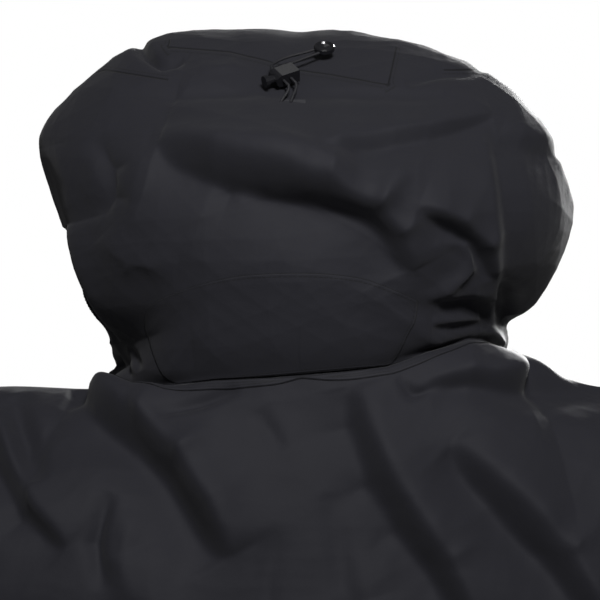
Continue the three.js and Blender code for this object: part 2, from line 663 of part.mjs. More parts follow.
/** The slit patch the two cords come out of. */
const slitFrame = frameOf(
  hoodPoint(lockAt.t, SLIT_K).addScaledVector(hoodNormal(lockAt.t, SLIT_K), 0.9),
  hoodNormal(lockAt.t, SLIT_K),
  vec(0, -1, 1),
);
const slitPatch = cutFrom(block(24, 1, 8), block(14, 3, 2 * CORD_DIAMETER - 0.2));
add('rear_cord_slit', placed(slitPatch, slitFrame), SHELL_TRIM);

/** The dished end that the cords are pressed into, lying on the crown. */
const endOut = hoodNormal(END_T, END_K);
const endFrame = frameOf(hoodPoint(END_T, END_K).addScaledVector(endOut, CORD_END.thick / 2 + 1), endOut, vec(1, -1, 0));
const endProfile = [
  [0, -0.5],
  [0.8, -0.5],
  [1, -0.2],
  [1, 0.3],
  [0.9, 0.5],
  [0.75, 0.5],
  [0.6, 0.3],
  [0, 0.2],
].map(([r, y]) => new THREE.Vector2(r * CORD_END.radius, y * CORD_END.thick));
add('rear_cord_end', placed(new THREE.LatheGeometry(endProfile, 20), endFrame), PLASTIC);

/** A round cord through world points, as a closed tube. */
function cord(points) {
  const ring = new THREE.Shape();
  ring.absarc(0, 0, CORD_DIAMETER / 2, 0, 2 * Math.PI);
  const extrudePath = new THREE.CatmullRomCurve3(points, false, 'centripetal');
  return new THREE.ExtrudeGeometry(ring, { steps: 30, curveSegments: 4, bevelEnabled: false, extrudePath });
}
const inFrame = (frame, points) => points.map(([x, y, z]) => vec(x, y, z).applyMatrix4(frame));
const [near, far] = LOCK.cords.map((x) => -x);
const STRANDS = [
  ['a', near, 3, -0.3, [near - 2, -0.4, 13], [near - 8, -1.2, 17]],
  ['b', far, -3, 0.3, [far - 2, -0.4, 10], [far - 7, -1.2, 11]],
];
for (const [name, x, side, apart, bend, turnOff] of STRANDS) {
  const start = inFrame(slitFrame, [[side, 1, 0]]);
  const through = inFrame(lockFrame, [
    [x, -0.6, -10.5],
    [x, 0, -8],
    [x, 0, 0],
    [x, 0, 8],
    bend,
  ]);
  const reach = CORD_END.radius + LAY_GAP;
  const [last] = inFrame(lockFrame, [turnOff]);
  const stop = last.clone().applyMatrix4(endFrame.clone().invert()).setY(0).setLength(reach);
  stop.applyAxisAngle(vec(0, 1, 0), apart);
  add(`rear_cord_${name}`, cord([...start, ...through, last, stop.applyMatrix4(endFrame)]), CORD);
}

// ---------------------------------------------------------------- hanging loop
const LOOP = { width: 44, height: 16, strap: 8, thick: 1.2 };
const loopY = NECK_BACK_Y - CLOTH - LAY_GAP - LOOP.strap / 2 - 2;
const loopLeg = (sign) =>
  block(LOOP.thick, LOOP.strap, LOOP.height, (sign * (LOOP.width - LOOP.thick)) / 2, loopY, LOOP.height / 2 - 6);
const loopTop = block(LOOP.width, LOOP.strap, LOOP.thick, 0, loopY, LOOP.height - 6 - LOOP.thick / 2);
add('hanger_loop', joined(loopLeg(1), loopLeg(-1), loopTop), TAPE);

export default jacket;
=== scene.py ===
import math

import bpy
import numpy as np
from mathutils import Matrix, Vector


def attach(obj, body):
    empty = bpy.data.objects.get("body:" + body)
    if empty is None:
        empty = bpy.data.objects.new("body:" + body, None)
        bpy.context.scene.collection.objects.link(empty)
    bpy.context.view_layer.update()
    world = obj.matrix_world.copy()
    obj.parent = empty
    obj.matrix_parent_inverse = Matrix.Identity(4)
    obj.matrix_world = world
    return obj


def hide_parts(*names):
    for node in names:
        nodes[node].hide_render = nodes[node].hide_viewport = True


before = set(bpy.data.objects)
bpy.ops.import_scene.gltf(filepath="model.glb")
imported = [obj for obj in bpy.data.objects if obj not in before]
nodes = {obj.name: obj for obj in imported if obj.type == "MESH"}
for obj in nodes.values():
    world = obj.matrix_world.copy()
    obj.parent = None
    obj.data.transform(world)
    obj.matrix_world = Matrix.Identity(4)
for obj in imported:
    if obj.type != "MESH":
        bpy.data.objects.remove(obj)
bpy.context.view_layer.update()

scene = bpy.context.scene
MM = 0.001

# ------------------------------------------------------------------ camera
# A portrait lens behind the jacket, level with the hood and a little above it, so that the hood and
# the top of the yoke fill the picture.
camera = bpy.data.objects.new("camera", bpy.data.cameras.new("camera"))
camera.data.lens = 180
camera.data.dof.use_dof = False
scene.collection.objects.link(camera)
scene.camera = camera
FRAMED_WIDTH = 0.372
SENSOR = 0.036
distance = FRAMED_WIDTH * camera.data.lens / (SENSOR * 1000)
elevation = math.radians(4)
aim = Vector((0, -0.02, 0.037))
camera.location = aim + distance * Vector((0, math.cos(elevation), math.sin(elevation)))
camera.rotation_euler = (camera.location - aim).to_track_quat("Z", "Y").to_euler()


# ------------------------------------------------------------------ hood cord
# Braided elastic cord, 1.8 mm thick: two strands come out of the slit at the crown seam, pass through
# the cord lock, turn over to the wearer's right and are pressed into the moulded end.
def colour(code):
    """An sRGB hex colour as linear RGBA."""
    parts = [int(code[i : i + 2], 16) / 255 for i in (1, 3, 5)]
    return [p / 12.92 if p <= 0.04045 else ((p + 0.055) / 1.055) ** 2.4 for p in parts] + [1]


def add_node(tree, kind, settings=None, **inputs):
    """A node with its settings, its sockets set from values or linked from other sockets."""
    made = tree.nodes.new(kind)
    for key, value in (settings or {}).items():
        setattr(made, key, value)
    for key, value in inputs.items():
        socket = made.inputs[int(key[1:])] if key[0] == "_" else made.inputs[key.replace("_", " ")]
        if isinstance(value, bpy.types.NodeSocket):
            tree.links.new(value, socket)
        else:
            socket.default_value = value
    return made


def material(name):
    """A new material, its node tree, and its Principled shader."""
    made = bpy.data.materials.new(name)
    made.use_nodes = True
    return made, made.node_tree, made.node_tree.nodes["Principled BSDF"]


CORD_DIAMETER = 0.0018
STRANDS = {
    "a": [(11.7, 53.3, 159.4), (6.7, 44.4, 169.3), (8, 43, 170.9), (12.1, 37.2, 174.7), (16.2, 31.5, 178.5)]
    + [(17.1, 26.8, 181.1), (13.9, 21, 184), (-8.3, 5.7, 191.2)],
    "b": [(5.7, 53.3, 159.4), (2.4, 42.3, 170.7), (3.7, 40.8, 172.4), (7.8, 35.1, 176.1), (11.9, 29.4, 179.9)]
    + [(11.2, 26.8, 181.1), (7.4, 23.6, 182.3), (-11.5, 9.3, 189.3)],
}


BRAID_SCALE = 420.0  # bands about 0.75 mm apart


def braid_material():
    """Woven sheath: fine diagonal braid over a near-black elastic core."""
    made, tree, shader = material("braided_polyester_cord")
    place = add_node(tree, "ShaderNodeTexCoord").outputs["Object"]
    braid = []
    for way in ("DIAGONAL", "X"):
        bands = {"bands_direction": way}
        wave = add_node(tree, "ShaderNodeTexWave", bands, Vector=place, Scale=BRAID_SCALE, Distortion=1.0)
        braid.append(wave.outputs["Fac"])
    both = add_node(tree, "ShaderNodeMath", {"operation": "MULTIPLY"}, _0=braid[0], _1=braid[1])
    bump = add_node(tree, "ShaderNodeBump", Strength=0.5, Distance=0.0002, Height=both.outputs[0])
    tree.links.new(bump.outputs["Normal"], shader.inputs["Normal"])
    shader.inputs["Base Color"].default_value = colour("#1b1b1f")
    shader.inputs["Roughness"].default_value = 0.6
    return made


braid = braid_material()
for name, route in STRANDS.items():
    curve = bpy.data.curves.new(f"hood_cord_{name}", "CURVE")
    curve.dimensions = "3D"
    curve.bevel_depth = CORD_DIAMETER / 2
    curve.bevel_resolution = 4
    curve.use_fill_caps = True
    line = curve.splines.new("BEZIER")
    line.bezier_points.add(len(route) - 1)
    for knot, place in zip(line.bezier_points, route):
        knot.co = [v * MM for v in place]
        knot.handle_left_type = knot.handle_right_type = "AUTO"
    strand = bpy.data.objects.new(f"hood_cord_{name}", curve)
    scene.collection.objects.link(strand)
    strand.data.materials.append(braid)
    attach(strand, "shell")
    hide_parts(f"rear_cord_{name}")


# ------------------------------------------------------------------ hood
# One shell of laminate cut in panels: a back that runs from the neck seam to the crown seam, a crown
# panel, two cheeks, a stiffened brim and a short collar each side. It stands up empty, so the crown has
# sunk and the back has fallen into soft rolls.
def smooth(x):
    """0 below 0, 1 above 1, and 3x^2 - 2x^3 between."""
    t = np.clip(x, 0, 1)
    return t * t * (3 - 2 * t)


def mix(a, b, t):
    """a at t = 0, b at t = 1, and a straight line between."""
    return a + (b - a) * t


def through(keys, x):
    """Catmull-Rom through the rows of keys, read at x from 0 to 1: one array for each column."""
    keys = np.asarray(keys, float)
    at = np.clip(x, 0, 1) * (len(keys) - 1)
    i = np.minimum(at.astype(int), len(keys) - 2)
    t = (at - i)[..., None]
    a, b, c, d = (keys[np.clip(i + k, 0, len(keys) - 1)] for k in (-1, 0, 1, 2))
    curve = 2 * b + (c - a) * t + (2 * a - 5 * b + 4 * c - d) * t**2 + (3 * b - a - 3 * c + d) * t**3
    return np.moveaxis(curve / 2, -1, 0)


def join(*parts):
    """Points from arrays of their coordinates, which are broadcast together."""
    return np.stack(np.broadcast_arrays(*parts), -1)


def normals(surface, u, v, core):
    """Unit normals of surface(u, v), by differences, facing away from the point core."""
    step = 0.003
    du = surface(u + step, v) - surface(u - step, v)
    dv = surface(u, v + step) - surface(u, v - step)
    n = np.cross(du, dv)
    n /= np.linalg.norm(n, axis=-1, keepdims=True) + 1e-12
    out = surface(u, v) - core
    return n * np.sign((n * out).sum(-1).mean() or 1)


def nearest(line, x, z, blend=5.0):
    """How far x, z lies to the left of a line drawn on the back view, the length along it, and a fade
    that is 1 beside its middle and 0 at and past its ends. The runs of the line are weighted by
    exp(-distance / blend), so that its corners are rounded by about blend."""
    line = np.asarray(line, float)
    steps = np.diff(line, axis=0)
    lengths = np.linalg.norm(steps, axis=1)
    starts = np.concatenate([[0], np.cumsum(lengths)])
    runs = []
    for (ax, az), (sx, sz), length, start in zip(line, steps, lengths, starts):
        t = np.clip(((x - ax) * sx + (z - az) * sz) / length**2, 0, 1)
        reach = np.hypot(x - ax - t * sx, z - az - t * sz)
        runs.append((reach, (sx * (z - az) - sz * (x - ax)) / length, start + t * length))
    reach, off, along = (np.stack(part) for part in zip(*runs))
    weight = np.exp((reach.min(0) - reach) / blend)
    weight /= weight.sum(0)
    off, along = (off * weight).sum(0), (along * weight).sum(0)
    past = np.sqrt(np.maximum(reach.min(0) ** 2 - off**2, 0)) / (3 + 0.35 * np.abs(off))
    return off, along, np.exp(-(past**2)) * np.sin(np.pi * np.clip(along / starts[-1], 0, 1)) ** 0.6


def folds(strokes, x, z):
    """Heights of folds drawn on the back view: each is h * exp(-(d / w)^2) of the distance d from its line,
    with a width for the left and the right of it, and fades to nothing at both ends."""
    total = np.zeros(np.broadcast(x, z).shape)
    for height, left, right, line in strokes:
        d, _, fade = nearest(line, x, z)
        total += height * fade * np.exp(-((d / np.where(d > 0, left, right)) ** 2))
    return total


def scarps(strokes, x, z):
    """Heights of slopes drawn on the back view: each is h * s * exp(-(d / r)^2), high on the left of its
    line and low on the right, where s is d / w held between -1 and 1. It fades to nothing at both ends."""
    total = np.zeros(np.broadcast(x, z).shape)
    for height, width, reach, line in strokes:
        d, _, fade = nearest(line, x, z)
        slope = d / (width * mix(0.45, 1, fade))
        total += height * fade * slope / (1 + np.abs(slope) ** 4) ** 0.25 * np.exp(-((d / reach) ** 2))
    return total


def on_back(surface, x, z, t, k):
    """The t, k at which surface shows at x, z in the back view, from a first guess, by Newton's method."""
    step = 0.002
    t, k = t + 0 * x, k + 0 * x
    for _ in range(14):
        p = surface(t, k)
        dt, dk = (surface(t + step, k) - p) / step, (surface(t, k + step) - p) / step
        ex, ez = x - p[..., 0], z - p[..., 2]
        det = dt[..., 0] * dk[..., 2] - dk[..., 0] * dt[..., 2]
        det = np.where(np.abs(det) < 500, 500 * np.where(det < 0, -1, 1), det)
        t = np.clip(t + np.clip((ex * dk[..., 2] - ez * dk[..., 0]) / det, -0.05, 0.05), 0.02, 0.98)
        k = np.clip(k + np.clip((ez * dt[..., 0] - ex * dt[..., 2]) / det, -0.05, 0.05), 0.001, 0.999)
    return t, k


def crumple(p, scale, seed, waves=6):
    """Soft creases all over, about zero: the mean of ridges 1 - |sin| along seeded random directions, each
    bent by a longer wave, with a spacing of about scale."""
    draw = np.random.default_rng(seed)
    total = 0
    for _ in range(waves):
        way, bend = draw.normal(size=(2, 3))
        way /= np.linalg.norm(way)
        bend /= np.linalg.norm(bend)
        rate = np.pi / (scale * draw.uniform(0.7, 1.6))
        bent = 1.3 * np.sin(p @ bend * rate * 0.6 + draw.uniform(0, 6))
        wave = p @ way * rate + bent + draw.uniform(0, 6)
        total = total + (1 - np.abs(np.sin(wave))) ** 1.7
    return total / waves - 0.36


GROOVE_HALF_WIDTH = 0.9
BACK_HALF_Y = -20  # seams drawn on the back view lie on the cloth behind this
NO_SEAM = 1e3  # a distance beyond any seam's stitches


def cloth(name, surface, u, v, core, look, seams="wesn", ride="shell", turn=1.0, groove=0.5, closed=False,
          lines=()):
    """A sheet of cloth through surface(u, v) in mm, its outer face at the surface, with its edges turned
    in by turn. seams names the edges that are stitched, as on a map: w and e at the ends of u, s and n at
    the ends of v. lines are further seams, drawn on the back view."""
    uu, vv = np.meshgrid(u, v)
    p = surface(uu, vv)
    n = normals(surface, uu, vv, core)
    across = np.cumsum(np.linalg.norm(np.diff(p, axis=1, prepend=p[:, :1]), axis=-1), axis=1)
    up = np.cumsum(np.linalg.norm(np.diff(p, axis=0, prepend=p[:1]), axis=-1), axis=0)
    edge, along = np.full(up.shape, NO_SEAM), up
    sides = {
        "w": (across, up),
        "e": (across[:, -1:] - across, up),
        "s": (up, across),
        "n": (up[-1:] - up, across),
    }
    for side, (off, run) in sides.items():
        if side in seams:
            along = np.where(off < edge, run, along)
            edge = np.minimum(off, edge)
    p = p - n * (groove * np.exp(-((edge / GROOVE_HALF_WIDTH) ** 2)))[..., None]
    for line in lines:
        off, run, fade = nearest(line, p[..., 0], p[..., 2], 0.3)
        off = np.where((p[..., 1] > BACK_HALF_Y) & (fade > 0.03), off, NO_SEAM)
        along = np.where(np.abs(off) < np.abs(edge), run, along)
        edge = np.where(np.abs(off) < np.abs(edge), off, edge)
    for axis in (0,) if closed else (0, 1):
        fields = []
        for a in (p, n, across, up, edge, along):
            first, last = np.take(a, [0], axis), np.take(a, [-1], axis)
            fields.append(np.concatenate([first, first, a, last, last], axis))
        p, n, across, up, edge, along = fields
        ends = [slice(None)] * 2
        for end in (0, -1):
            ends[axis] = end
            p[tuple(ends)] -= turn * n[tuple(ends)]
    rows, columns = p.shape[:2]
    index = np.arange(rows * columns).reshape(rows, columns)
    if closed:
        index = np.concatenate([index, index[:, :1]], axis=1)
    quads = np.stack([index[:-1, :-1], index[:-1, 1:], index[1:, 1:], index[1:, :-1]], -1).reshape(-1, 4)
    flat = p.reshape(-1, 3)
    a, b, c, d = (flat[quads[:, k]] for k in range(4))
    faces = np.cross(c - a, d - b)
    real = np.linalg.norm(faces, axis=1) > 1e-6
    quads, faces = quads[real], faces[real]
    if (faces * n.reshape(-1, 3)[quads[:, 0]]).sum() < 0:
        quads = quads[:, ::-1]
    mesh = bpy.data.meshes.new(name)
    mesh.from_pydata((flat * MM).tolist(), [], quads.tolist())
    for label, first, second in (("weave", across, up), ("stitch", along, edge)):
        layer = mesh.uv_layers.new(name=label)
        pair = np.stack([first.ravel(), second.ravel()], -1)[quads.ravel()]
        layer.data.foreach_set("uv", pair.astype(np.float32).ravel())
    mesh.polygons.foreach_set("use_smooth", [True] * len(mesh.polygons))
    mesh.materials.append(look)
    made = bpy.data.objects.new(name, mesh)
    scene.collection.objects.link(made)
    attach(made, ride)
    return made, (float(across.max()) * MM, float(up.max()) * MM)


def sew(node, held, *sheet, **more):
    """The cloth that stands for a CAD node, made by cloth, with the node hidden. It is declared with its
    greatest width and length, measured on its face without the turned edges, and with its mesh's own area,
    held to no more than width times length.
    """
    made, cut = cloth(f"{node}_cloth", *sheet, **more)
    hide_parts(node)
    mesh = made.data
    corners = np.empty(len(mesh.vertices) * 3)
    mesh.vertices.foreach_get("co", corners)
    quads = np.empty(len(mesh.loops), int)
    mesh.loops.foreach_get("vertex_index", quads)
    return made


STITCH_PITCH = 3.0
STITCH_SHARE = 0.76  # of the pitch shows, the rest is down in the cloth
THREAD_HALF_WIDTH = 0.3


def laminate(name, base, roughness=0.74, weave=0.45, stitch=2.2, stitch_colour="#17171a"):
    """Three-layer laminate: a plain-woven nylon face, its threads weave mm apart, a little uneven in tone and
    crinkle, with painted shade and a small dip along each seam, and a row of lockstitch stitch mm in from it."""
    made, tree, shader = material(name)
    threads = add_node(tree, "ShaderNodeUVMap", {"uv_map": "weave"}).outputs[0]
    rate = 2 * math.pi / (20 * weave)
    lines = [
        add_node(
            tree, "ShaderNodeTexWave", {"bands_direction": way}, Vector=threads, Scale=rate, Distortion=0.6
        ).outputs["Fac"]
        for way in ("X", "Y")
    ]
    multiply = {"operation": "MULTIPLY"}
    weave_height = add_node(tree, "ShaderNodeMath", multiply, _0=lines[0], _1=lines[1]).outputs[0]
    place = add_node(tree, "ShaderNodeTexCoord").outputs["Object"]
    crinkle = add_node(
        tree, "ShaderNodeTexNoise", Vector=place, Scale=130.0, Detail=5.0, Roughness=0.55
    ).outputs["Fac"]
    patchy = add_node(tree, "ShaderNodeTexNoise", Vector=place, Scale=9.0, Detail=3.0).outputs["Fac"]
    stitches = add_node(tree, "ShaderNodeUVMap", {"uv_map": "stitch"}).outputs[0]
    split = add_node(tree, "ShaderNodeSeparateXYZ", Vector=stitches)
    off_seam, along_seam = split.outputs["Y"], split.outputs["X"]
    off = add_node(
        tree, "ShaderNodeMath", {"operation": "COMPARE"}, _0=off_seam, _1=stitch, _2=THREAD_HALF_WIDTH
    ).outputs[0]
    divide = {"operation": "DIVIDE"}
    count = add_node(tree, "ShaderNodeMath", divide, _0=along_seam, _1=STITCH_PITCH).outputs[0]
    run = add_node(tree, "ShaderNodeMath", {"operation": "FRACT"}, _0=count).outputs[0]
    dash = add_node(tree, "ShaderNodeMath", {"operation": "LESS_THAN"}, _0=run, _1=STITCH_SHARE).outputs[0]
    thread = add_node(tree, "ShaderNodeMath", multiply, _0=off, _1=dash).outputs[0]
    light, dark = colour(base), [c * 0.8 for c in colour(base)[:3]] + [1]
    tone = add_node(tree, "ShaderNodeMix", {"data_type": "RGBA"}, _0=patchy, _6=dark, _7=light).outputs[2]
    # Painted shade along each seam: within 0.9 mm of it the colour falls to 0.3 of the base, standing in for
    # the shadow in the seam's groove; the same mask also dips the bump there.
    apart = add_node(tree, "ShaderNodeMath", {"operation": "ABSOLUTE"}, _0=off_seam).outputs[0]
    eased = {"interpolation_type": "SMOOTHSTEP"}
    seam_shade_and_dip = add_node(tree, "ShaderNodeMapRange", eased, From_Min=0.1, From_Max=0.9, Value=apart).outputs[0]
    shade = [c * 0.3 for c in light[:3]] + [1]
    tone = add_node(tree, "ShaderNodeMix", {"data_type": "RGBA"}, _0=seam_shade_and_dip, _6=shade, _7=tone).outputs[2]
    stitch_tone = colour(stitch_colour)
    rgba = {"data_type": "RGBA"}
    sewn = add_node(tree, "ShaderNodeMix", rgba, _0=thread, _6=tone, _7=stitch_tone).outputs[2]
    tree.links.new(sewn, shader.inputs["Base Color"])
    normal = add_node(tree, "ShaderNodeBump", Strength=0.35, Distance=0.00006, Height=weave_height).outputs[0]
    for height, strength, depth in ((crinkle, 0.25, 0.0009), (seam_shade_and_dip, 0.8, 0.0005), (thread, 0.4, 0.0002)):
        normal = add_node(
            tree, "ShaderNodeBump", Strength=strength, Distance=depth, Height=height, Normal=normal
        ).outputs[0]
    tree.links.new(normal, shader.inputs["Normal"])
    shader.inputs["Roughness"].default_value = roughness
    shader.inputs["Specular IOR Level"].default_value = 0.2
    shader.inputs["Sheen Weight"].default_value = 0.06
    shader.inputs["Sheen Roughness"].default_value = 0.5
    return made


shell = laminate("nylon_three_layer_laminate", "#222228")
trim = laminate("nylon_reinforced_laminate", "#212127", roughness=0.7)


NECK_HALF_WIDTH = 118
NECK_BACK_Y = 82
HOOD_ARCHES = [  # half width, top z, top y and roundness, neck seam to brim
    (NECK_HALF_WIDTH, 0, NECK_BACK_Y, 2.0),
    (158, 108, 106, 2.4),
    (170, 162, 46, 2.9),
    (166, 205, -34, 3.0),
    (124, 210, -118, 2.6),
]
NECK_FRONT_DROP = 72
FRONT_Y = -112
CHIN_Z = 20
FACE_HALF_WIDTH = 92
ZIP_REVEAL = 8
CHIN_SHARE = 0.1
CROWN_SEAM = 0.5
BRIM_SEAM = 0.9
CROWN_EDGE = 0.4
HOOD_CORE = np.array([0, -20, 70])
ROOT_SPREAD = 4  # how fast an arch widens to its full width: near the neck seam, and higher up
FLARE = 1.5


def neck_seam(turn):
    """The neck seam, turn degrees from the centre back: half an ellipse behind, flatter in front, where it
    drops by a smooth step."""
    a = np.radians(np.clip(turn, 0, 180))
    front = np.cos(a) < 0
    y = np.where(front, FRONT_Y * np.abs(np.cos(a)) ** 0.6, NECK_BACK_Y * np.cos(a))
    x = np.maximum(NECK_HALF_WIDTH * np.sin(a), np.where(front, ZIP_REVEAL, 0))
    return join(x, y, -NECK_FRONT_DROP * smooth((turn - 62) / 118))


def front_edge(t):
    """The front edge: up the zip to the chin, then round the face opening and over the brim."""
    s = 1 - np.abs(2 * t - 1)
    sign = np.where(t < 0.5, 1, -1)
    a = np.radians(mix(-85, 90, np.clip((s - 2 * CHIN_SHARE) / (1 - 2 * CHIN_SHARE), 0, 1)))
    half = (HOOD_ARCHES[-1][1] - CHIN_Z) / 2
    zipped = (s < 2 * CHIN_SHARE)[..., None]
    low = join(sign * ZIP_REVEAL, FRONT_Y, mix(-NECK_FRONT_DROP, CHIN_Z, np.clip(s / (2 * CHIN_SHARE), 0, 1)))
    face = join(
        sign * FACE_HALF_WIDTH * np.cos(a),
        mix(FRONT_Y, HOOD_ARCHES[-1][2], smooth((np.degrees(a) + 85) / 175)),
        CHIN_Z + half * (1 + np.sin(a)),
    )
    return np.where(zipped, low, face)


def arch(t, k):
    """The hood's arch k: a superellipse that stands on the neck seam."""
    half_width, top_z, top_y, roundness = through(HOOD_ARCHES, k)
    ground = neck_seam(90 + 90 * np.clip(k, 0, 1))
    s = np.clip(t, 0, 1) * np.pi
    across = np.sign(np.cos(s)) * np.abs(np.cos(s)) ** (2 / roundness)
    up = np.abs(np.sin(s)) ** (2 / roundness)
    pace = mix(ROOT_SPREAD, FLARE, smooth(k / 0.6))
    spread = mix(ground[..., 0], half_width, np.clip(pace * up, 0, 1))
    return join(spread * across, mix(ground[..., 1], top_y, up), mix(ground[..., 2], top_z, up))


def plain_hood(t, k):
    """The arches, pulled on to the neck seam at the back and on to the front edge at the front."""
    neck = neck_seam(np.abs(180 * np.clip(t, 0, 1) - 90))
    neck = neck * join(np.where(t < 0.5, 1, -1), 1, 1)
    p = arch(t, k)
    p = p + (neck - arch(t, k * 0)) * (1 - smooth(k / 0.3))[..., None]
    return p + (front_edge(t) - arch(t, k * 0 + 1)) * smooth((k - 0.55) / 0.45)[..., None]


# The outline of the slumped hood from behind, wearer's left round to the right, about a middle 100 mm up
OUTLINE = [
    (110, -5), (113, 11), (128, 25), (139, 39), (144, 65), (148, 88), (157, 110), (163, 132),
    (162, 143), (148, 159), (133, 175), (112, 191), (81, 203), (42, 204), (0, 203), (-47, 201),
    (-83, 193), (-113, 181), (-134, 165), (-149, 146), (-159, 130), (-171, 104), (-170, 82), (-157, 47),
    (-145, 25), (-129, 2),
]
MIDDLE_Z = 100


def bearing(x, z):
    """The angle of x, z about the hood's middle, from straight up towards +X."""
    return np.arctan2(x, z - MIDDLE_Z)


def outline_scale():
    """For a fan of bearings: the plain hood's reach, and the outline's share of it, smoothed by a bell."""
    tt, kk = np.meshgrid(np.linspace(0, 1, 400), np.linspace(0, 1, 200))
    p = plain_hood(tt, kk)
    p = p[p[..., 2] > -2]
    fan = np.radians(np.arange(-140, 141, 1))
    angle = bearing(p[:, 0], p[:, 2])
    radius = np.hypot(p[:, 0], p[:, 2] - MIDDLE_Z)
    plain = np.array([radius[np.abs(angle - a) < math.radians(1.5)].max() for a in fan])
    wanted = np.asarray(OUTLINE, float)
    turn = bearing(wanted[:, 0], wanted[:, 1])
    order = np.argsort(turn)
    reach = np.hypot(wanted[:, 0], wanted[:, 1] - MIDDLE_Z)
    scale = np.interp(fan, turn[order], reach[order]) / plain
    bell = np.exp(-((np.arange(-9, 10) / 4) ** 2))
    return fan, plain, np.convolve(np.pad(scale, 9, "edge"), bell / bell.sum(), "valid")


FAN, PLAIN_REACH, REACH_SCALE = outline_scale()

# How far the neck seam rides up, right of the centre, and sags, left of it, by x
SEAM_TILT = [(-124, 14), (-101, 17), (-76, 12), (-51, 4), (0, 0), (50, -4), (79, -9), (99, -10), (125, -6)]


def seam_tilt(x):
    """How far the neck seam is up or down at x, by straight lines between the points of SEAM_TILT."""
    tilt = np.asarray(SEAM_TILT, float)
    return np.interp(x, tilt[:, 0], tilt[:, 1])


def slumped(p, t, k):
    """p with the hood's outline eased on to OUTLINE, away from the seams, and the neck seam on to its
    tilt."""
    angle = bearing(p[..., 0], p[..., 2])
    radius = np.hypot(p[..., 0], p[..., 2] - MIDDLE_Z)
    share = radius / np.interp(angle, FAN, PLAIN_REACH)
    off_seam = smooth(k / 0.1) * smooth(np.minimum(t, 1 - t) / 0.05)
    scale = 1 + (np.interp(angle, FAN, REACH_SCALE) - 1) * smooth((share - 0.45) / 0.5) * off_seam
    x = p[..., 0] * scale
    z = MIDDLE_Z + (p[..., 2] - MIDDLE_Z) * scale
    return join(x, p[..., 1], z + seam_tilt(x) * np.exp(-((p[..., 2] / 38) ** 2)))


HOOD_SLOPES = [  # height, half width and reach, and a line with its high side on the left
    # under the main fold
    (17, 9, 36, [(-64, 61), (-54, 83), (-42, 97), (-15, 108), (12, 114), (40, 120), (84, 134)]),
    # into the right pocket
    (8, 5, 15, [(-114, 56), (-107, 75), (-93, 87), (-68, 99)]),
    # over the pinch to the right apex
    (5, 3, 15, [(-116, 152), (-81, 143), (-50, 137.5), (-12, 130)]),
    # from the apex to the right edge
    (3.5, 5, 16, [(-162, 130), (-143, 134), (-121, 141)]),
    # down from the apex
    (3, 4, 17, [(-113, 147), (-117, 106), (-119, 56), (-121, 13)]),
    # left under side
    (-12, 5, 22, [(137, 86), (124, 50), (110, 13)]),
    # two pockets by the neck
    (4, 3.5, 11, [(-121, 38), (-102, 44), (-81, 43)]),
    (3, 2.4, 8, [(-108, 28), (-78, 28)]),
]
HOOD_FOLDS = [  # height, width on the left and on the right, and a line
    # crease over the crown ridge
    (-3.5, 5, 5, [(-93, 163), (-50, 164), (-12, 165), (12, 166), (50, 163), (84, 163), (108, 167)]),
    # roll over the main fold
    (4, 12, 7, [(87, 141), (50, 131), (12, 128), (-32, 122)]),
    # rim of the right pocket
    (4, 5, 3.5, [(-84, 78), (-98, 74), (-101, 62), (-88, 52), (-74, 44)]),
    # pocket below the apex line
    (-6, 6, 6, [(-121, 52), (-127, 32), (-130, 16)]),
    # fold down to the seam
    (4, 5, 4, [(-112, 22), (-120, 17), (-125, 9)]),
    # left shallow valley
    (-6, 10, 11, [(122, 142), (113, 122), (112, 104), (117, 92)]),
    # left edge fold
    (6, 9, 7, [(148, 134), (141, 112), (128, 70), (114, 23)]),
    # ridge from the left
    (3, 9, 12, [(116, 80), (98, 66), (72, 62)]),
    # collar notch
    (-8, 7, 6, [(124, -7), (108, 2), (103, -8)]),
    # crescent by the crown panel
    (-8, 3.5, 4.5, [(104, 202), (96, 191), (84, 184), (70, 186)]),
    (3, 5, 5, [(62, 178), (40, 180), (24, 176)]),
    # right crown crease
    (-4, 3.5, 3, [(-63, 172), (-86, 178), (-116, 179)]),
    # left patch fold
    (-3, 3, 3, [(104, 12), (96, -1)]),
    # patch swell
    (3, 26, 26, [(63, 12), (-39, 20)]),
]


def resting_hood(t, k):
    """The slumped hood before its folds."""
    return slumped(plain_hood(t, k), t, k)


LOCK_X, LOCK_Z = 6, 182


def hood(t, k):
    """The slumped hood plus height along its normal: drawn folds on the half that faces back, and fine
    crumpling everywhere but at the lock, where it is flat for 14 mm round."""
    p = resting_hood(t, k)
    n = normals(resting_hood, t, k, HOOD_CORE)
    from_lock = np.hypot(p[..., 0] - LOCK_X, (p[..., 2] - LOCK_Z) * 1.2)
    free = smooth((from_lock - 14) / 26)
    behind = 1 - smooth((k - 0.68) / 0.2)
    x, z = p[..., 0], p[..., 2]
    height = (folds(HOOD_FOLDS, x, z) + scarps(HOOD_SLOPES, x, z)) * behind
    height = height + 3.6 * crumple(p, 50, 3) + 0.9 * crumple(p, 19, 4)
    at_neck = smooth(k / 0.08)
    return p + n * (height * free * at_neck)[..., None]


